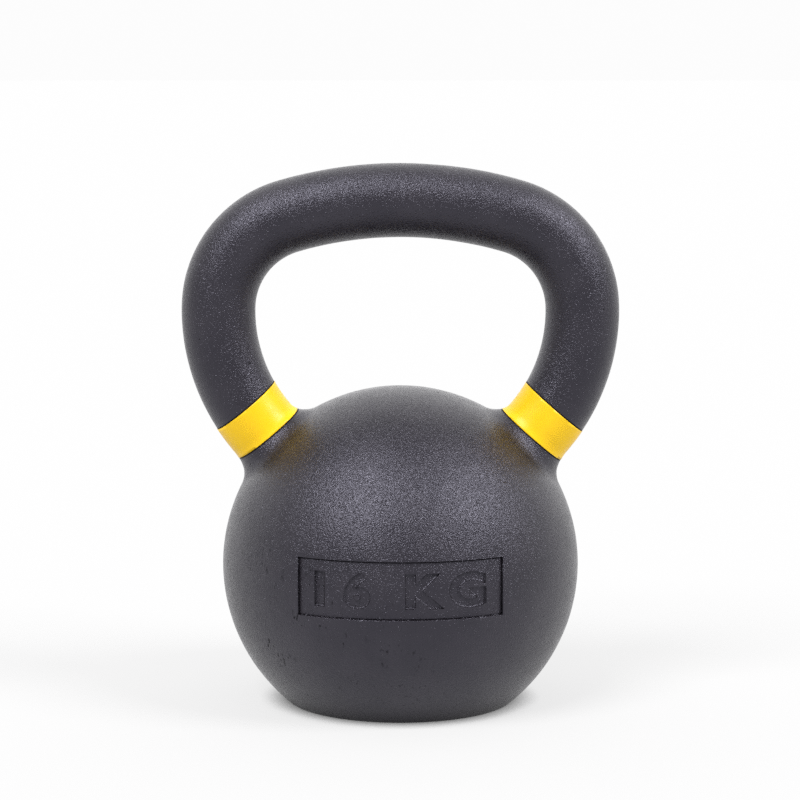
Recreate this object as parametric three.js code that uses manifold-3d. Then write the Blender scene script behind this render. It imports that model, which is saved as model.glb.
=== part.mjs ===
// A 16 kg kettlebell: one grey-iron casting, powder coated, with a colour band round each leg of
// its handle. The ball and the handle are cast in one piece, so they are one solid here too.
// Millimetres, +Z up. The origin is the centre of the flat base, X runs across the handle, and
// the marking pocket faces -Y.

import * as THREE from 'three';
import { mergeVertices } from 'three/addons/utils/BufferGeometryUtils.js';
import Module from 'manifold-3d';

const wasm = await Module();
wasm.setup();

// ---------------------------------------------------------------- driving dimensions

// ball
const BALL_R = 78.6;
const BASE_R = 50.1;
const BASE_EDGE_R = 1.2;

// handle: a round bar whose centre line lies in the plane y = 0
const HANDLE_R = 16.15;
const GRIP_RISE = 160.6; // from the ball's centre up to the middle of the grip
const CROWN_R = 175.6; // slow curve along the grip
const SHOULDER_R = 42.5; // tight curve at each corner
const SIDE_R = 79.6; // slow curve down each leg
const LEG_ANGLE = THREE.MathUtils.degToRad(45.5); // leg's root, from straight up
const ROOT_FILLET_R = 11.4; // cast fillet between leg and ball
const ROOT_DEPTH = 30.0; // how far the leg's bar runs on inside the ball

// colour bands, each in a shallow seat; a band's two edges lie in parallel planes
const BAND_WIDTH = 15.6;
const BAND_WALL = 0.5;
const BAND_ANGLE = THREE.MathUtils.degToRad(40.2); // square to those planes, from straight up
const BAND_RISE = 2.9; // from the ball's surface to the lower plane
const SEAT_DEPTH = 0.6;
const BAND_GAP = 0.3; // adhesive gap under the band and at both its edges

// marking pocket in the front of the ball
const POCKET_WIDTH = 86.0;
const POCKET_HEIGHT = 24.6;
const POCKET_RISE = 2.0; // pocket's centre above the ball's centre
const POCKET_DEPTH = 1.0;

// facets
const BALL_SEGMENTS = 64;
const BALL_STEPS = 26;
const EDGE_STEPS = 3;
const BAR_SEGMENTS = 32;
const BAR_STEPS = 56;
const FILLET_STEPS = 6;
const BAND_STEPS = 6;

// how far a fillet's two rims dip into the metal that they run out on
const RIM_SINK = 0.15;
const RIM_RUNOUT = 2.0;
// how far a cutter stands clear of the surface that it cuts through
const CUTTER_CLEAR = 4.0;
// how far a band's sleeve is swept past its upper edge before the edges are cut
const BAND_SPARE = 6.0;

// ---------------------------------------------------------------- solids

function toSolid(geometry) {
  const bare = geometry.clone();
  bare.deleteAttribute('normal');
  bare.deleteAttribute('uv');
  const merged = mergeVertices(bare);
  const corners = merged.index.array;
  const kept = [];
  for (let i = 0; i < corners.length; i += 3) {
    const [a, b, c] = corners.slice(i, i + 3);
    if (a !== b && b !== c && c !== a) {
      kept.push(a, b, c);
    }
  }
  const mesh = new wasm.Mesh({
    numProp: 3,
    vertProperties: new Float32Array(merged.attributes.position.array),
    triVerts: new Uint32Array(kept),
  });
  return new wasm.Manifold(mesh);
}

function toGeometry(solid) {
  const mesh = solid.getMesh();
  const geometry = new THREE.BufferGeometry();
  geometry.setAttribute('position', new THREE.BufferAttribute(mesh.vertProperties, 3));
  geometry.setIndex(new THREE.BufferAttribute(mesh.triVerts, 1));
  return geometry;
}

function arcPoints(centreX, centreY, radius, start, end, steps) {
  const points = [];
  for (let i = 0; i <= steps; i += 1) {
    const angle = start + ((end - start) * i) / steps;
    points.push(new THREE.Vector2(
      centreX + radius * Math.cos(angle),
      centreY + radius * Math.sin(angle),
    ));
  }
  return points;
}

// a profile of (radius, height) turned about +Z
function turned(profile, segments) {
  return new THREE.LatheGeometry(profile, segments).rotateX(Math.PI / 2);
}

// ---------------------------------------------------------------- ball

const BALL_CENTRE_Z = Math.sqrt(BALL_R ** 2 - BASE_R ** 2);

function ballSolid() {
  // the base's edge is a small arc that touches the flat and the ball
  const edgeX = Math.sqrt((BALL_R - BASE_EDGE_R) ** 2 - (BALL_CENTRE_Z - BASE_EDGE_R) ** 2);
  const touch = Math.atan2(BASE_EDGE_R - BALL_CENTRE_Z, edgeX);
  const profile = [
    new THREE.Vector2(0, 0),
    ...arcPoints(edgeX, BASE_EDGE_R, BASE_EDGE_R, -Math.PI / 2, touch, EDGE_STEPS),
    ...arcPoints(0, BALL_CENTRE_Z, BALL_R, touch, Math.PI / 2, BALL_STEPS).slice(1, -1),
    new THREE.Vector2(0, BALL_CENTRE_Z + BALL_R),
  ];
  return toSolid(turned(profile, BALL_SEGMENTS));
}

// ---------------------------------------------------------------- handle's centre line

function alongLeg(distance) {
  return new THREE.Vector2(
    distance * Math.sin(LEG_ANGLE),
    BALL_CENTRE_Z + distance * Math.cos(LEG_ANGLE),
  );
}

// In the plane of the handle, x across and y up. The leg leaves the ball square to its surface,
// and from there three arcs that touch each other lead to the middle of the grip.
const LEG_ROOT = alongLeg(BALL_R);
const SIDE_CENTRE = new THREE.Vector2(
  LEG_ROOT.x - SIDE_R * Math.cos(LEG_ANGLE),
  LEG_ROOT.y + SIDE_R * Math.sin(LEG_ANGLE),
);
const CROWN_CENTRE = new THREE.Vector2(0, BALL_CENTRE_Z + GRIP_RISE - CROWN_R);
const SHOULDER_CENTRE = touchingCentre(
  CROWN_CENTRE,
  CROWN_R - SHOULDER_R,
  SIDE_CENTRE,
  SIDE_R - SHOULDER_R,
);
const CROWN_END = SHOULDER_CENTRE.clone().sub(CROWN_CENTRE).angle();
const SHOULDER_END = SHOULDER_CENTRE.clone().sub(SIDE_CENTRE).angle();

// the point at the two given distances from two centres, on the side where x is greater
function touchingCentre(first, firstDistance, second, secondDistance) {
  const between = second.clone().sub(first);
  const span = between.length();
  const along = (firstDistance ** 2 - secondDistance ** 2 + span ** 2) / (2 * span);
  const aside = Math.sqrt(firstDistance ** 2 - along ** 2);
  const direction = between.divideScalar(span);
  return new THREE.Vector2(
    first.x + along * direction.x + aside * direction.y,
    first.y + along * direction.y - aside * direction.x,
  );
}

// a flat path set upright in the plane y = 0, on the +X side or mirrored to the -X side
class UprightPath extends THREE.Curve {
  constructor(path, side) {
    super();
    this.path = path;
    this.side = side;
  }

  getPoint(t, target = new THREE.Vector3()) {
    const point = this.path.getPoint(t);
    return target.set(this.side * point.x, 0, point.y);
  }
}

function handlePath() {
  const foot = alongLeg(BALL_R - ROOT_DEPTH);
  const path = new THREE.Path();
  path.moveTo(foot.x, foot.y);
  path.lineTo(LEG_ROOT.x, LEG_ROOT.y);
  path.absarc(SIDE_CENTRE.x, SIDE_CENTRE.y, SIDE_R, -LEG_ANGLE, SHOULDER_END);
  path.absarc(SHOULDER_CENTRE.x, SHOULDER_CENTRE.y, SHOULDER_R, SHOULDER_END, CROWN_END);
  path.absarc(0, CROWN_CENTRE.y, CROWN_R, CROWN_END, Math.PI - CROWN_END);
  path.absarc(
    -SHOULDER_CENTRE.x,
    SHOULDER_CENTRE.y,
    SHOULDER_R,
    Math.PI - CROWN_END,
    Math.PI - SHOULDER_END,
  );
  path.absarc(-SIDE_CENTRE.x, SIDE_CENTRE.y, SIDE_R, Math.PI - SHOULDER_END, Math.PI + LEG_ANGLE);
  path.lineTo(-foot.x, foot.y);
  return new UprightPath(path, 1);
}

// one leg's centre line, from the ball's surface up to a little past the band
function bandedStretch(side) {
  const length = BAND_RISE + BAND_WIDTH + BAND_SPARE;
  const path = new THREE.Path();
  path.absarc(SIDE_CENTRE.x, SIDE_CENTRE.y, SIDE_R, -LEG_ANGLE, length / SIDE_R - LEG_ANGLE);
  return new UprightPath(path, side);
}

// ---------------------------------------------------------------- handle, fillets, bands, pocket

function ringShape(outerR, innerR) {
  const shape = new THREE.Shape(arcPoints(0, 0, outerR, 0, 2 * Math.PI, BAR_SEGMENTS).slice(1));
  if (innerR > 0) {
    shape.holes.push(
      new THREE.Path(arcPoints(0, 0, innerR, 0, 2 * Math.PI, BAR_SEGMENTS).slice(1)),
    );
  }
  return shape;
}

function swept(outerR, innerR, extrudePath, steps) {
  return new THREE.ExtrudeGeometry(ringShape(outerR, innerR), { steps, extrudePath });
}

// The root fillet's section is an arc that touches the bar and the ball.
function filletSolid(side) {
  const centreX = HANDLE_R + ROOT_FILLET_R;
  const centreZ = Math.sqrt((BALL_R + ROOT_FILLET_R) ** 2 - centreX ** 2);
  const turn = Math.atan2(centreX, centreZ);
  const arc = arcPoints(
    centreX,
    centreZ,
    ROOT_FILLET_R,
    1.5 * Math.PI - turn,
    Math.PI,
    FILLET_STEPS,
  );
  const rimAngle = Math.PI / 2 - turn - RIM_RUNOUT / BALL_R;
  const rimR = BALL_R - RIM_SINK;
  const profile = [
    new THREE.Vector2(0, BALL_R - ROOT_DEPTH),
    new THREE.Vector2(rimR * Math.cos(rimAngle), rimR * Math.sin(rimAngle)),
    ...arc,
    new THREE.Vector2(HANDLE_R - RIM_SINK, centreZ + RIM_RUNOUT),
    new THREE.Vector2(0, centreZ + RIM_RUNOUT),
  ];
  const geometry = turned(profile, BAR_SEGMENTS);
  geometry.rotateY(side * LEG_ANGLE);
  geometry.translate(0, 0, BALL_CENTRE_Z);
  return toSolid(geometry);
}

// A sleeve round the leg, cut off between two parallel planes. The widening moves both outwards.
function bandSleeve(outerR, innerR, widening, side) {
  const reach = 6 * HANDLE_R;
  const slab = new THREE.BoxGeometry(reach, reach, BAND_WIDTH + 2 * widening);
  slab.translate(0, 0, BALL_R + BAND_RISE + BAND_WIDTH / 2);
  slab.rotateY(side * BAND_ANGLE);
  slab.translate(0, 0, BALL_CENTRE_Z);
  const sleeve = toSolid(swept(outerR, innerR, bandedStretch(side), BAND_STEPS));
  return sleeve.intersect(toSolid(slab));
}

function bandSeatCutter(side) {
  return bandSleeve(HANDLE_R + CUTTER_CLEAR, HANDLE_R - SEAT_DEPTH, BAND_GAP, side);
}

function bandGeometry(side) {
  const innerR = HANDLE_R - SEAT_DEPTH + BAND_GAP;
  return toGeometry(bandSleeve(innerR + BAND_WALL, innerR, 0, side));
}

// The pocket's walls run straight back along Y and its floor keeps the ball's curve.
function pocketCutter() {
  const reach = BALL_R + CUTTER_CLEAR;
  const box = new THREE.BoxGeometry(POCKET_WIDTH, reach, POCKET_HEIGHT);
  box.translate(0, -reach / 2, BALL_CENTRE_Z + POCKET_RISE);
  const floorR = BALL_R - POCKET_DEPTH;
  const floorProfile = [
    new THREE.Vector2(0, -floorR),
    ...arcPoints(0, 0, floorR, -Math.PI / 2, Math.PI / 2, 2 * BALL_STEPS).slice(1, -1),
    new THREE.Vector2(0, floorR),
  ];
  const floorBall = turned(floorProfile, BALL_SEGMENTS);
  floorBall.translate(0, 0, BALL_CENTRE_Z);
  return toSolid(box).subtract(toSolid(floorBall));
}

function castingGeometry() {
  let solid = ballSolid().add(toSolid(swept(HANDLE_R, 0, handlePath(), BAR_STEPS)));
  for (const side of [-1, 1]) {
    solid = solid.add(filletSolid(side));
  }
  for (const side of [-1, 1]) {
    solid = solid.subtract(bandSeatCutter(side));
  }
  return toGeometry(solid.subtract(pocketCutter()));
}

// ---------------------------------------------------------------- materials and assembly

const blackPowderCoat = new THREE.MeshStandardMaterial({
  color: 0x3a393d,
  roughness: 0.55,
  metalness: 0.0,
});
const yellowVinyl = new THREE.MeshStandardMaterial({
  color: 0xf2c51f,
  roughness: 0.38,
  metalness: 0.0,
});

function part(name, geometry, material) {
  const mesh = new THREE.Mesh(geometry, material);
  mesh.name = name;
  return mesh;
}

const kettlebell = new THREE.Group();
kettlebell.add(
  part('iron_casting', castingGeometry(), blackPowderCoat),
  part('left_colour_band', bandGeometry(-1), yellowVinyl),
  part('right_colour_band', bandGeometry(1), yellowVinyl),
);

export default kettlebell;
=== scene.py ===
import math

import bmesh
import bpy
from mathutils import Matrix, Vector, noise


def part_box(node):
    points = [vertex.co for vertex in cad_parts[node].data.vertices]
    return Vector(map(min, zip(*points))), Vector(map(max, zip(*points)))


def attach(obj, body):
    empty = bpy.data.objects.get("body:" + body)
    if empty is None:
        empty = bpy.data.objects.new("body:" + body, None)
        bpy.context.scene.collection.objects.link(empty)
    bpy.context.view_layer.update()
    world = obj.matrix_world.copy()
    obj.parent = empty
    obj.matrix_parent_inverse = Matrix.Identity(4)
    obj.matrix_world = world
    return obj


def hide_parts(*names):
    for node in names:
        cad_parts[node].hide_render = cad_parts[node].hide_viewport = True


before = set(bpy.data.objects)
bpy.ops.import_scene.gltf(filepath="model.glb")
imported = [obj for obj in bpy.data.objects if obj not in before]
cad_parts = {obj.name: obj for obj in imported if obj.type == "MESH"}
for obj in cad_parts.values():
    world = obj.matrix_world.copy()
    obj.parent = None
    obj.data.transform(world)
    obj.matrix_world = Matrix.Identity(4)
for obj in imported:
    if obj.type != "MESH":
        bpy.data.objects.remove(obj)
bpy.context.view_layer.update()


# ---------------------------------------------------------------- camera
# A long portrait lens on a tripod a little above the kettlebell's own height, looking slightly
# down at its front.
camera_data = bpy.data.cameras.new("product_camera")
camera_data.lens = 119.19
camera_data.sensor_width = 36.0
camera = bpy.data.objects.new("product_camera", camera_data)
camera.location = (-0.0002, -1.1588, 0.2783)
camera.rotation_euler = (math.radians(90.0 - 7.14), 0.0, 0.0)
bpy.context.scene.collection.objects.link(camera)
bpy.context.scene.camera = camera


# ---------------------------------------------------------------- iron casting: the skin
# Ball, handle and the fillets between them are one grey-iron casting, poured in a sand mould,
# shot blasted and powder coated black. The ball stands on a flat cut across its bottom, and the
# handle is a round bar that bends in one plane and flares into the ball.
ball_r = 0.0786
base_r = 0.0501
base_edge_r = 0.0012
bar_r = 0.01615
root_fillet_r = 0.0114
leg_angle = math.radians(45.5)
side_r = 0.0796
shoulder_r = 0.0425
crown_r = 0.1756
ball_centre = Vector((0.0, 0.0, math.sqrt(ball_r**2 - base_r**2)))
grip_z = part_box("iron_casting")[1].z - bar_r
bar_sides = 88
skin_step = 0.0016
flat_rows = 12
edge_rows = 5
fillet_rows = 12
swells_per_metre = 38.0
swell_height = 0.00007
ripples_per_metre = 95.0
ripple_height = 0.00003

leg_way = Vector((math.sin(leg_angle), 0.0, math.cos(leg_angle)))
leg_root = ball_centre + ball_r * leg_way
side_centre = leg_root + side_r * Vector((-math.cos(leg_angle), 0.0, math.sin(leg_angle)))
crown_centre = Vector((0.0, 0.0, grip_z - crown_r))

# the shoulder's arc touches the side's arc and the crown's arc from inside both
between = side_centre - crown_centre
to_crown = crown_r - shoulder_r
to_side = side_r - shoulder_r
along = (to_crown**2 - to_side**2 + between.length_squared) / (2.0 * between.length)
aside = math.sqrt(to_crown**2 - along**2)
between.normalize()
shoulder_centre = crown_centre + along * between + aside * Vector((between.z, 0.0, -between.x))

# the bar's heading, as an angle from straight up, where one arc hands over to the next
from_side = shoulder_centre - side_centre
from_crown = shoulder_centre - crown_centre
side_end = -math.atan2(from_side.z, from_side.x)
shoulder_end = -math.atan2(from_crown.z, from_crown.x)
crown_end = -math.pi / 2.0

# the root fillet touches the ball on a cone of this half angle, and the bar this far up the leg
fillet_out = bar_r + root_fillet_r
fillet_cone = math.asin(fillet_out / (ball_r + root_fillet_r))
fillet_top = (ball_r + root_fillet_r) * math.cos(fillet_cone) - ball_r


def leg_place(rise, radius):
    """Where a circle of unit radius goes to girdle the +X leg, this far up from the ball."""
    heading = leg_angle - max(rise, 0.0) / side_r
    turned = Matrix.Rotation(heading, 4, "Y") @ Matrix.Scale(radius, 4)
    if rise > 0.0:
        centre = side_centre + side_r * Vector((math.cos(heading), 0.0, -math.sin(heading)))
    else:
        centre = leg_root + rise * leg_way
    return Matrix.Translation(centre) @ turned


def leg_girth(rise):
    """The leg's radius this far up: the bar's own, or more where the root fillet flares."""
    below = max(fillet_top - rise, 0.0)
    return fillet_out - math.sqrt(root_fillet_r**2 - below**2)


def only(kind, items):
    """Picks one kind of element out of what a bmesh operator gives back."""
    return [item for item in items if isinstance(item, kind)]


def pull_on(mesh, painted_shade_line, move):
    """Draws a line of edges out into one more row of faces and returns the line it ends in."""
    drawn = bmesh.ops.extrude_edge_only(mesh, edges=painted_shade_line)["geom"]
    rim = set(only(bmesh.types.BMVert, drawn))
    bmesh.ops.transform(mesh, matrix=move, verts=list(rim))
    return [edge for edge in only(bmesh.types.BMEdge, drawn) if rim.issuperset(edge.verts)]


def hand_dressed(place):
    """How far hand grinding left the casting's skin above or below its true shape, in metres."""
    swell = noise.noise(place * swells_per_metre)
    ripple = noise.noise(place * ripples_per_metre + Vector((3.1, 7.7, 1.9)))
    return swell_height * swell + ripple_height * ripple


skin = bmesh.new()

# the ball's profile: the flat, its small edge radius and the ball itself
edge_out = math.sqrt((ball_r - base_edge_r) ** 2 - (ball_centre.z - base_edge_r) ** 2)
edge_turn = math.pi / 2.0 - math.atan2(ball_centre.z - base_edge_r, edge_out)
middle = skin.verts.new((0.0, 0.0, 0.0))
flat = skin.edges.new((middle, skin.verts.new((0.0, -edge_out, 0.0))))
bmesh.ops.subdivide_edges(skin, edges=[flat], cuts=flat_rows)
edge_arc = bmesh.ops.spin(
    skin,
    geom=[min(skin.verts, key=lambda vert: vert.co.y)],
    cent=(0.0, -edge_out, base_edge_r),
    axis=(-1.0, 0.0, 0.0),
    angle=edge_turn,
    steps=edge_rows,
)
ball_turn = math.pi - edge_turn
bmesh.ops.spin(
    skin,
    geom=only(bmesh.types.BMVert, edge_arc["geom_last"]),
    cent=ball_centre,
    axis=(-1.0, 0.0, 0.0),
    angle=ball_turn,
    steps=round(ball_turn * ball_r / skin_step),
)
# half a turn of it makes the +X half of the ball
bmesh.ops.spin(
    skin,
    geom=skin.verts[:] + skin.edges[:],
    cent=(0.0, 0.0, 0.0),
    axis=(0.0, 0.0, 1.0),
    angle=math.pi,
    steps=round(math.pi * ball_r / skin_step),
)
bmesh.ops.remove_doubles(skin, verts=skin.verts[:], dist=1e-6)

# the leg's opening, and a row of faces from its rim to the first girdle of the fillet
opening = bmesh.ops.bisect_plane(
    skin,
    geom=skin.verts[:] + skin.edges[:] + skin.faces[:],
    plane_co=ball_centre + ball_r * math.cos(fillet_cone) * leg_way,
    plane_no=leg_way,
    clear_outer=True,
)["geom_cut"]
bmesh.ops.remove_doubles(
    skin,
    verts=only(bmesh.types.BMVert, opening),
    dist=0.15 * skin_step,
)
opening_rim = [
    edge for edge in skin.edges
    if edge.is_boundary and max(vert.co.x for vert in edge.verts) > skin_step
]
fillet_arc = math.pi / 2.0 - fillet_cone
girdles = []
for row in range(1, fillet_rows + 1):
    swing = fillet_arc * (1.0 - row / fillet_rows)
    rise = fillet_top - root_fillet_r * math.sin(swing)
    girdles.append(leg_place(rise, fillet_out - root_fillet_r * math.cos(swing)))
first = bmesh.ops.create_circle(skin, segments=bar_sides, radius=1.0, matrix=girdles[0])
loop = list({edge for vert in first["verts"] for edge in vert.link_edges})
bmesh.ops.bridge_loops(skin, edges=opening_rim + loop)
for before, after in zip(girdles, girdles[1:]):
    loop = pull_on(skin, loop, after @ before.inverted())

# the bar goes on round the side, the shoulder and half of the grip
heading = leg_angle - fillet_top / side_r
for centre, radius, end in (
    (side_centre, side_r, side_end),
    (shoulder_centre, shoulder_r, shoulder_end),
    (crown_centre, crown_r, crown_end),
):
    swept = bmesh.ops.spin(
        skin,
        geom=loop + list({vert for edge in loop for vert in edge.verts}),
        cent=centre,
        axis=(0.0, -1.0, 0.0),
        angle=heading - end,
        steps=math.ceil((heading - end) * radius / skin_step),
    )
    loop = only(bmesh.types.BMEdge, swept["geom_last"])
    heading = end

# the -X half mirrors it, and hand grinding leaves everything but the flat a little uneven
bmesh.ops.mirror(
    skin,
    geom=skin.verts[:] + skin.edges[:] + skin.faces[:],
    matrix=Matrix.Identity(4),
    merge_dist=1e-5,
    axis="X",
)
bmesh.ops.recalc_face_normals(skin, faces=skin.faces[:])
skin.normal_update()
for vert in skin.verts:
    if vert.co.z > base_edge_r:
        vert.co += hand_dressed(vert.co) * vert.normal
for face in skin.faces:
    face.smooth = True

casting_mesh = bpy.data.meshes.new("iron_casting_skin")
skin.to_mesh(casting_mesh)
skin.free()
casting = bpy.data.objects.new("cast_body", casting_mesh)
bpy.context.scene.collection.objects.link(casting)


# ---------------------------------------------------------------- iron casting: the marking
# The pattern has a shallow rectangular pocket in its front with the weight sunk in the floor, and
# the iron takes both over from the sand. The cutter that sank the pocket left a fine crease round
# its floor, and the rim comes out of the sand a little rounded.
pocket_w = 0.0860
pocket_h = 0.0246
pocket_z = ball_centre.z + 0.002
pocket_depth = 0.0010
rim_round = 0.0002
rim_turn = math.radians(60.0)
rim_rows = 3
past_skin = 0.001
crease_w = 0.00055
crease_depth = 0.0003
stamp_grid = 0.002
mark_depth = 0.0011
mark_h = 0.0157
mark_w = 0.0720


def onto_ball(stamp):
    """Bends a flat stamp, its depth along Y, to the ball's curve without moving it in X or Z."""
    for vert in stamp.verts:
        out = Vector((vert.co.x, 0.0, vert.co.z - ball_centre.z)).length
        vert.co.y = -math.sqrt((ball_r - vert.co.y) ** 2 - out**2)


def gridded(stamp, width, height):
    """Cuts a flat stamp into small squares, so that it bends smoothly."""
    for axis, span, centre in ((0, width, 0.0), (2, height, pocket_z)):
        count = math.ceil(span / stamp_grid)
        for step in range(count + 1):
            place = Vector((0.0, 0.0, 0.0))
            place[axis] = centre + span * (step / count - 0.5)
            normal = Vector((0.0, 0.0, 0.0))
            normal[axis] = 1.0
            bmesh.ops.bisect_plane(
                stamp,
                geom=stamp.verts[:] + stamp.edges[:] + stamp.faces[:],
                plane_co=place,
                plane_no=normal,
                dist=1e-7,
            )


def to_object(name, shape):
    """Turns a finished bmesh into an object with that name."""
    bmesh.ops.recalc_face_normals(shape, faces=shape.faces[:])
    mesh = bpy.data.meshes.new(name)
    shape.to_mesh(mesh)
    shape.free()
    made = bpy.data.objects.new(name, mesh)
    bpy.context.scene.collection.objects.link(made)
    return made


def carve(body, tool, operation):
    """Cuts a body with a tool, which is used up."""
    cut = body.modifiers.new("carve", "BOOLEAN")
    cut.operation = operation
    cut.solver = "MANIFOLD"
    cut.object = tool
    bpy.context.view_layer.update()
    graph = bpy.context.evaluated_depsgraph_get()
    body.data = bpy.data.meshes.new_from_object(body.evaluated_get(graph))
    body.modifiers.clear()
    bpy.data.objects.remove(tool)


# the pocket's cutter: its outline is drawn outwards from the floor, down into the crease and up
# out of it, up the wall, over the rim's rounding and on past the skin; each row of the wall is
# a depth and how far out it lies
wall = [
    (pocket_depth + 0.8 * crease_depth, 0.35 * crease_w),
    (pocket_depth + crease_depth, 0.6 * crease_w),
    (pocket_depth + 0.5 * crease_depth, 0.9 * crease_w),
    (pocket_depth, crease_w),
]
for row in range(rim_rows + 1):
    turn = rim_turn * row / rim_rows
    wall.append((
        rim_round * (1.0 - math.sin(turn)),
        crease_w + rim_round * (1.0 - math.cos(turn)),
    ))
wall.append((wall[-1][0] - past_skin, wall[-1][1] + past_skin * math.tan(rim_turn)))

inner_w = pocket_w - 2.0 * crease_w
inner_h = pocket_h - 2.0 * crease_w
block = bmesh.new()
bmesh.ops.create_grid(
    block,
    x_segments=1,
    y_segments=1,
    size=0.5,
    matrix=Matrix.Translation((0.0, pocket_depth, pocket_z))
    @ Matrix.Rotation(math.pi / 2.0, 4, "X")
    @ Matrix.Diagonal((inner_w, inner_h, 1.0, 1.0)),
)
loop = block.edges[:]
depth, spread = pocket_depth, 0.0
for next_depth, next_spread in wall:
    centre = Matrix.Translation((0.0, 0.0, pocket_z))
    grow = Matrix.Diagonal((
        (inner_w + 2.0 * next_spread) / (inner_w + 2.0 * spread),
        1.0,
        (inner_h + 2.0 * next_spread) / (inner_h + 2.0 * spread),
        1.0,
    ))
    shift = Matrix.Translation((0.0, next_depth - depth, 0.0))
    loop = pull_on(block, loop, shift @ centre @ grow @ centre.inverted())
    depth, spread = next_depth, next_spread
bmesh.ops.contextual_create(block, geom=loop)
gridded(block, pocket_w, pocket_h)
onto_ball(block)
carve(casting, to_object("marking_block", block), "DIFFERENCE")

# the characters: a plain sans weight mark whose sides are well rounded, so that the pattern
# draws out of the sand
mark_data = bpy.data.curves.new("weight_mark", "FONT")
mark_data.body = "16 KG"
mark_data.align_x = "CENTER"
mark_data.space_character = 1.45
mark_data.space_word = 0.8
mark_data.offset = 0.02
mark_data.extrude = 0.02
mark_data.bevel_depth = 0.034
mark_data.bevel_resolution = 2
mark_data.resolution_u = 6
mark_text = bpy.data.objects.new("weight_mark", mark_data)
bpy.context.scene.collection.objects.link(mark_text)
mark_mesh = bpy.data.meshes.new_from_object(
    mark_text.evaluated_get(bpy.context.evaluated_depsgraph_get())
)
bpy.data.objects.remove(mark_text)
characters = bmesh.new()
characters.from_mesh(mark_mesh)
bmesh.ops.remove_doubles(characters, verts=characters.verts[:], dist=1e-5)
low = Vector(min(vert.co[axis] for vert in characters.verts) for axis in range(3))
high = Vector(max(vert.co[axis] for vert in characters.verts) for axis in range(3))
size = mark_h / (high.y - low.y)
widening = mark_w / (high.x - low.x) / size
back = pocket_depth + mark_depth - size * high.z
bmesh.ops.translate(characters, vec=-0.5 * (low + high), verts=characters.verts[:])
bmesh.ops.transform(
    characters,
    matrix=Matrix.Translation((0.0, back, pocket_z))
    @ Matrix.Rotation(math.pi / 2.0, 4, "X")
    @ Matrix.Diagonal((widening * size, size, size, 1.0)),
    verts=characters.verts[:],
)
# what a box larger than all of them has in common with them is the same characters as clean
# closed solids, with no edges that cross inside
bath = bmesh.new()
bmesh.ops.create_cube(bath, size=2.0 * pocket_w, matrix=Matrix.Translation((0.0, 0.0, pocket_z)))
letters = to_object("marking_bath", bath)
carve(letters, to_object("marking_characters", characters), "INTERSECT")
characters = bmesh.new()
characters.from_mesh(letters.data)
bpy.data.objects.remove(letters)
bmesh.ops.triangulate(characters, faces=characters.faces[:])
gridded(characters, pocket_w, pocket_h)
onto_ball(characters)
carve(casting, to_object("marking_characters", characters), "DIFFERENCE")
casting.data.set_sharp_from_angle(angle=math.radians(38.0))


# ---------------------------------------------------------------- iron casting: the coat
# Black polyester powder, baked on: satin, with a fine sandy grain, a few pits where the iron was
# porous, short nicks under the film from the dressing wheel, and a faint cloudiness where the
# film is thinner. A dark line of painted shade runs along each colour band.
deep_film = (0.0082, 0.0070, 0.0094)
thin_film = (0.0138, 0.0120, 0.0152)
# dark film colour of the pits and nicks, which also paints the shade lines along the bands
marks_and_painted_shade_film = (0.002, 0.0018, 0.002)
pit_spacing = 0.0055
pit_share = 0.16
pit_radius = 0.10
pit_depth = 0.00018
# width of the painted shade lines along the bands
shade_line_w = 0.0007
leg_inside = 0.03
band_w = 0.0156

# how each colour band went on: its leg's side, its tilt from level, how far its front leans down,
# and how far out from the ball its lower edge starts
strips = {
    "left_colour_band": (-1.0, math.radians(39.5), math.radians(2.5), 0.0033),
    "right_colour_band": (1.0, math.radians(41.0), 0.0, 0.0028),
}


def across_strip(tilt, lean):
    """The way from a strip's lower edge to its upper one, on the +X leg."""
    flat_share = math.cos(lean)
    return Vector((math.sin(tilt) * flat_share, -math.sin(lean), math.cos(tilt) * flat_share))


def noise_node(tree, place, scale, detail, roughness):
    """A noise of so many grains to the metre, round 0.5."""
    node = tree.nodes.new("ShaderNodeTexNoise")
    node.inputs["Scale"].default_value = scale
    node.inputs["Detail"].default_value = detail
    node.inputs["Roughness"].default_value = roughness
    tree.links.new(place, node.inputs["Vector"])
    return node.outputs["Fac"]


def ramp_node(tree, value, low, high, to_low, to_high):
    """Maps a stretch of values to another one, with everything outside it held at the ends."""
    node = tree.nodes.new("ShaderNodeMapRange")
    node.interpolation_type = "SMOOTHSTEP"
    node.inputs["From Min"].default_value = low
    node.inputs["From Max"].default_value = high
    node.inputs["To Min"].default_value = to_low
    node.inputs["To Max"].default_value = to_high
    tree.links.new(value, node.inputs["Value"])
    return node.outputs["Result"]


def math_node(tree, operation, first, second):
    """One sum on two values, each a plain number or an output."""
    node = tree.nodes.new("ShaderNodeMath")
    node.operation = operation
    for socket, value in zip(node.inputs, (first, second)):
        if isinstance(value, float):
            socket.default_value = value
        else:
            tree.links.new(value, socket)
    return node.outputs["Value"]


def blend_node(tree, share, first, second):
    """Goes from the first colour to the second as the share goes from 0 to 1."""
    node = tree.nodes.new("ShaderNodeMix")
    node.data_type = "RGBA"
    tree.links.new(share, node.inputs["Factor"])
    for label, colour in (("A", first), ("B", second)):
        if isinstance(colour, tuple):
            node.inputs[label].default_value = (*colour, 1.0)
        else:
            tree.links.new(colour, node.inputs[label])
    return node.outputs["Result"]


def new_finish(name):
    """A material, its node tree and its shader."""
    finish = bpy.data.materials.new(name)
    finish.use_nodes = True
    return finish, finish.node_tree, finish.node_tree.nodes["Principled BSDF"]


def grain_node(tree, place, coarse_height, fine_height):
    """Puts the grain into a material and returns its height, in metres."""
    node = tree.nodes.new("ShaderNodeGroup")
    node.node_tree = grain
    node.inputs["Coarse Height"].default_value = coarse_height
    node.inputs["Fine Height"].default_value = fine_height
    tree.links.new(place, node.inputs["Place"])
    return node.outputs["Height"]


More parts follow.
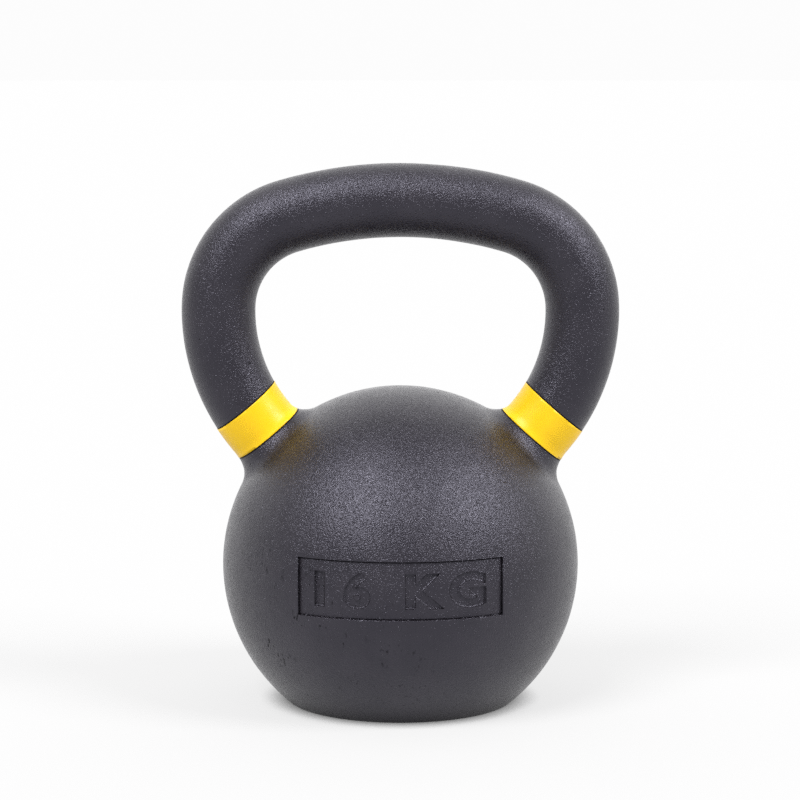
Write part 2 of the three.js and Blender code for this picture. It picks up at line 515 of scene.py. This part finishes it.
def raise_skin(tree, height, shader):
    """Lets a height, in metres, tilt the light on a shader's surface."""
    bump = tree.nodes.new("ShaderNodeBump")
    bump.inputs["Strength"].default_value = 1.0
    bump.inputs["Distance"].default_value = 1.0
    tree.links.new(height, bump.inputs["Height"])
    tree.links.new(bump.outputs["Normal"], shader.inputs["Normal"])


# sandy grain, which the powder bakes to and the bands show faintly
grain = bpy.data.node_groups.new("powder_grain", "ShaderNodeTree")
for label, kind in (
    ("Place", "NodeSocketVector"),
    ("Coarse Height", "NodeSocketFloat"),
    ("Fine Height", "NodeSocketFloat"),
):
    grain.interface.new_socket(name=label, in_out="INPUT", socket_type=kind)
grain.interface.new_socket(name="Height", in_out="OUTPUT", socket_type="NodeSocketFloat")
grain_in = grain.nodes.new("NodeGroupInput")
grain_out = grain.nodes.new("NodeGroupOutput")
spot = grain_in.outputs["Place"]
coarse = noise_node(grain, spot, 900.0, 2.0, 0.55)
fine = noise_node(grain, spot, 2300.0, 1.0, 0.5)
# a few grains stand up out of the rest
proud = ramp_node(grain, noise_node(grain, spot, 1500.0, 0.0, 0.5), 0.56, 0.74, 0.0, 1.0)
coarse = math_node(grain, "ADD", coarse, proud)
coarse = math_node(grain, "MULTIPLY", coarse, grain_in.outputs["Coarse Height"])
fine = math_node(grain, "MULTIPLY", fine, grain_in.outputs["Fine Height"])
grain.links.new(math_node(grain, "ADD", coarse, fine), grain_out.inputs["Height"])

coat, tree, shader = new_finish("black_powder_coat")
place = tree.nodes.new("ShaderNodeTexCoord").outputs["Object"]
axes = tree.nodes.new("ShaderNodeSeparateXYZ")
tree.links.new(place, axes.inputs["Vector"])

# pits: small round hollows, one in a few of the cells of a coarse lattice
cells = tree.nodes.new("ShaderNodeTexVoronoi")
cells.feature = "F1"
cells.inputs["Scale"].default_value = 1.0 / pit_spacing
tree.links.new(place, cells.inputs["Vector"])
lot = tree.nodes.new("ShaderNodeSeparateColor")
tree.links.new(cells.outputs["Color"], lot.inputs["Color"])
chosen = math_node(tree, "LESS_THAN", lot.outputs["Red"], pit_share)
radius = math_node(tree, "MULTIPLY", pit_radius, math_node(tree, "ADD", 0.4, lot.outputs["Green"]))
near = math_node(tree, "DIVIDE", cells.outputs["Distance"], radius)
pit = math_node(tree, "MULTIPLY", ramp_node(tree, near, 0.3, 1.0, 1.0, 0.0), chosen)

# nicks: short slanting strokes in patches; the wheel was used most low down and on the left
stretch = tree.nodes.new("ShaderNodeMapping")
stretch.vector_type = "POINT"
stretch.inputs["Rotation"].default_value = (0.0, math.radians(24.0), 0.0)
stretch.inputs["Scale"].default_value = (1.0, 1.0, 0.38)
tree.links.new(place, stretch.inputs["Vector"])
stroke = noise_node(tree, stretch.outputs["Vector"], 620.0, 2.0, 0.55)
stroke = ramp_node(tree, stroke, 0.61, 0.70, 0.0, 1.0)
patch = ramp_node(tree, noise_node(tree, place, 46.0, 2.0, 0.5), 0.40, 0.58, 0.0, 1.0)
low_left = math_node(
    tree,
    "MULTIPLY",
    ramp_node(tree, axes.outputs["X"], -0.045, 0.03, 1.0, 0.25),
    ramp_node(tree, axes.outputs["Z"], 0.03, 0.11, 1.0, 0.2),
)
nick = math_node(tree, "MULTIPLY", stroke, math_node(tree, "MULTIPLY", patch, low_left))

# the painted shade line along both cut edges of each band: a point's reach is its distance from
# the plane through the ball's centre that the band's edges are parallel to
painted_shade_lines = []
for side, tilt, lean, rise in strips.values():
    outward = tree.nodes.new("ShaderNodeVectorMath")
    outward.operation = "SUBTRACT"
    outward.inputs[1].default_value = ball_centre
    tree.links.new(place, outward.inputs[0])
    reach = tree.nodes.new("ShaderNodeVectorMath")
    reach.operation = "DOT_PRODUCT"
    across = across_strip(tilt, lean)
    reach.inputs[1].default_value = (side * across.x, across.y, across.z)
    tree.links.new(outward.outputs["Vector"], reach.inputs[0])
    gaps = []
    for edge_reach in (ball_r + rise, ball_r + rise + band_w):
        away = math_node(tree, "SUBTRACT", reach.outputs["Value"], edge_reach)
        away = math_node(tree, "ABSOLUTE", away, 0.0)
        gaps.append(math_node(tree, "DIVIDE", away, shade_line_w))
    painted_shade_line = ramp_node(tree, math_node(tree, "MINIMUM", *gaps), 0.6, 1.2, 1.0, 0.0)
    sideways = math_node(tree, "MULTIPLY", axes.outputs["X"], side)
    on_leg = math_node(tree, "GREATER_THAN", sideways, leg_inside)
    painted_shade_lines.append(math_node(tree, "MULTIPLY", painted_shade_line, on_leg))
painted_shade_line = math_node(tree, "MAXIMUM", *painted_shade_lines)
# pits and nicks are marks in the film; the lines along the bands are painted shade
marks_and_painted_shade = math_node(tree, "MAXIMUM", math_node(tree, "MAXIMUM", pit, nick), painted_shade_line)

cloud = ramp_node(tree, noise_node(tree, place, 55.0, 3.0, 0.55), 0.3, 0.7, 0.0, 1.0)
film = blend_node(tree, cloud, deep_film, thin_film)
# the dark colour darkens the pits and nicks and paints shade along the bands
tree.links.new(blend_node(tree, marks_and_painted_shade, film, marks_and_painted_shade_film), shader.inputs["Base Color"])

# the film mirrors little at its pits and nicks and on the painted shade lines, and less where it
# is seen edge on, because its grains shade one another; its shine is a little violet
slant = tree.nodes.new("ShaderNodeLayerWeight")
slant.inputs["Blend"].default_value = 0.5
shine = math_node(
    tree,
    "MULTIPLY",
    ramp_node(tree, marks_and_painted_shade, 0.0, 1.0, 0.57, 0.12),
    ramp_node(tree, slant.outputs["Facing"], 0.35, 0.85, 1.0, 0.76),
)
tree.links.new(shine, shader.inputs["Specular IOR Level"])
shader.inputs["Specular Tint"].default_value = (0.84, 0.82, 1.0, 1.0)
satin = ramp_node(tree, noise_node(tree, place, 120.0, 4.0, 0.6), 0.3, 0.7, 0.21, 0.28)
dull = math_node(tree, "MULTIPLY", marks_and_painted_shade, 0.3)
tree.links.new(math_node(tree, "ADD", satin, dull), shader.inputs["Roughness"])
hollow = math_node(tree, "MULTIPLY", pit, pit_depth)
sandy = grain_node(tree, place, 0.00008, 0.00023)
raise_skin(tree, math_node(tree, "SUBTRACT", sandy, hollow), shader)

casting.data.materials.clear()
casting.data.materials.append(coat)
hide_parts("iron_casting")
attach(casting, "root")


# ---------------------------------------------------------------- colour bands
# A strip of yellow vinyl round the foot of each leg gives the weight in the makers' colour code.
# It is cut straight along both edges, so they lie in parallel planes, wrapped on by hand over
# the coat and lapped at the back.
tape_t = 0.00014
tape_gap = 0.00003
lap_turn = math.radians(24.0)
lap_start = math.radians(80.0)
lap_climb = 1.25 * tape_t
climb_turn = math.radians(5.0)
tape_step = 0.0012
tape_top = 0.0235

vinyl, tree, shader = new_finish("yellow_vinyl")
place = tree.nodes.new("ShaderNodeTexCoord").outputs["Object"]
tone = ramp_node(tree, noise_node(tree, place, 160.0, 3.0, 0.5), 0.3, 0.7, 0.0, 1.0)
yellow = blend_node(tree, tone, (0.75, 0.462, 0.003), (0.78, 0.490, 0.004))
tree.links.new(yellow, shader.inputs["Base Color"])
shader.inputs["Specular IOR Level"].default_value = 0.28
smooth = ramp_node(tree, noise_node(tree, place, 420.0, 3.0, 0.6), 0.3, 0.7, 0.30, 0.42)
tree.links.new(smooth, shader.inputs["Roughness"])
raise_skin(tree, grain_node(tree, place, 0.00001, 0.000003), shader)

for node, (side, tilt, lean, rise) in strips.items():
    # a circle of unit radius, and the lap past its full turn
    tape = bmesh.new()
    turn = 2.0 * math.pi + lap_turn
    steps = round(turn / (2.0 * math.pi) * bar_sides)
    bmesh.ops.spin(
        tape,
        geom=[tape.verts.new((1.0, 0.0, 0.0))],
        cent=(0.0, 0.0, 0.0),
        axis=(0.0, 0.0, 1.0),
        angle=turn,
        steps=steps,
    )
    # the lapped end climbs on to the tape under it
    for index, vert in enumerate(tape.verts):
        past = turn * index / steps - 2.0 * math.pi
        climb = min(max(past / climb_turn + 1.0, 0.0), 1.0)
        vert.co *= 1.0 + climb * lap_climb / bar_r
    bmesh.ops.rotate(tape, matrix=Matrix.Rotation(lap_start, 3, "Z"), verts=tape.verts[:])

    # it is drawn up the +X leg, from the ball to past the upper edge
    rows = math.ceil(tape_top / tape_step)
    places = []
    for row in range(rows + 1):
        up = tape_top * row / rows
        places.append(leg_place(up, leg_girth(up) + tape_gap + tape_t))
    bmesh.ops.transform(tape, matrix=places[0], verts=tape.verts[:])
    loop = tape.edges[:]
    for before, after in zip(places, places[1:]):
        loop = pull_on(tape, loop, after @ before.inverted())

    # both edges are cut straight, and the left strip went on with its front a little low
    across = across_strip(tilt, lean)
    for reach, way in ((ball_r + rise, -1.0), (ball_r + rise + band_w, 1.0)):
        bmesh.ops.bisect_plane(
            tape,
            geom=tape.verts[:] + tape.edges[:] + tape.faces[:],
            plane_co=ball_centre + reach * across,
            plane_no=way * across,
            clear_outer=True,
        )
    if side < 0.0:
        bmesh.ops.scale(tape, vec=(-1.0, 1.0, 1.0), verts=tape.verts[:])
    # the tape is an open sheet, so its rearmost face tells whether its faces point outwards
    bmesh.ops.recalc_face_normals(tape, faces=tape.faces[:])
    tape.normal_update()
    rearmost = max(tape.faces, key=lambda face: face.calc_center_median().y)
    if rearmost.normal.y < 0.0:
        bmesh.ops.reverse_faces(tape, faces=tape.faces[:])
        tape.normal_update()
    for vert in tape.verts:
        vert.co += hand_dressed(vert.co) * vert.normal
    for face in tape.faces:
        face.smooth = True

    tape_mesh = bpy.data.meshes.new(node + "_tape")
    tape.to_mesh(tape_mesh)
    tape.free()
    tape_mesh.materials.append(vinyl)
    band = bpy.data.objects.new(node + "_tape", tape_mesh)
    bpy.context.scene.collection.objects.link(band)
    thickness = band.modifiers.new("tape_thickness", "SOLIDIFY")
    thickness.thickness = tape_t
    thickness.offset = -1.0
    thickness.use_even_offset = True
    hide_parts(node)
    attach(band, "root")


# ---------------------------------------------------------------- floor and light
# A plain white paper sweep in a white room. The room lights it from all round, and a large soft
# lamp stands on each side of the camera.
floor_mesh = bpy.data.meshes.new("floor")
floor_shape = bmesh.new()
bmesh.ops.create_circle(floor_shape, cap_ends=True, segments=96, radius=60.0)
floor_shape.to_mesh(floor_mesh)
floor_shape.free()
floor = bpy.data.objects.new("floor", floor_mesh)
bpy.context.scene.collection.objects.link(floor)
paper, tree, shader = new_finish("white_paper")
shader.inputs["Base Color"].default_value = (0.15, 0.15, 0.15, 1.0)
shader.inputs["Roughness"].default_value = 0.9
shader.inputs["Specular IOR Level"].default_value = 0.0
shader.inputs["Emission Color"].default_value = (1.0, 1.0, 1.0, 1.0)
# the paper glows one even white, and an ambient occlusion lookup paints shade into the glow
# only in the narrow gap under the ball's edge
open_sky = tree.nodes.new("ShaderNodeAmbientOcclusion")
open_sky.samples = 4
open_sky.inputs["Distance"].default_value = 0.011
glow_with_painted_shade = ramp_node(tree, open_sky.outputs["AO"], 0.0, 0.6, 0.05, 0.675)
tree.links.new(glow_with_painted_shade, shader.inputs["Emission Strength"])
floor_mesh.materials.append(paper)

# each lamp: how far round from the camera it stands, how high, how wide it looks and its power
for name, azimuth, elevation, spread, power in (
    ("left_softbox", math.radians(-38.0), math.radians(50.0), math.radians(28.0), 2.95),
    ("right_softbox", math.radians(65.0), math.radians(41.0), math.radians(26.0), 2.55),
):
    lamp_data = bpy.data.lights.new(name, "SUN")
    lamp_data.angle = spread
    lamp_data.energy = power
    lamp = bpy.data.objects.new(name, lamp_data)
    way = Vector((
        math.sin(azimuth) * math.cos(elevation),
        -math.cos(azimuth) * math.cos(elevation),
        math.sin(elevation),
    ))
    lamp.rotation_euler = way.to_track_quat("Z", "Y").to_euler()
    lamp.location = way
    bpy.context.scene.collection.objects.link(lamp)

world = bpy.data.worlds.new("white_room")
world.use_nodes = True
tree = world.node_tree
room = tree.nodes["Background"]
room.inputs["Color"].default_value = (1.0, 1.0, 1.0, 1.0)
# the room is brightest behind the kettlebell and overhead
way = tree.nodes.new("ShaderNodeSeparateXYZ")
tree.links.new(tree.nodes.new("ShaderNodeTexCoord").outputs["Generated"], way.inputs["Vector"])
overhead = math_node(tree, "MULTIPLY", way.outputs["Z"], 0.3)
towards = math_node(tree, "ADD", way.outputs["Y"], overhead)
behind = ramp_node(tree, towards, 0.0, 1.0, 0.62, 1.4)
# the camera sees its far end as the same white as the paper
seen = tree.nodes.new("ShaderNodeMix")
tree.links.new(tree.nodes.new("ShaderNodeLightPath").outputs["Is Camera Ray"], seen.inputs["Factor"])
tree.links.new(behind, seen.inputs["A"])
seen.inputs["B"].default_value = 0.977
tree.links.new(seen.outputs["Result"], room.inputs["Strength"])
bpy.context.scene.world = world
bpy.context.scene.view_settings.view_transform = "Standard"
bpy.context.scene.cycles.use_denoising = False
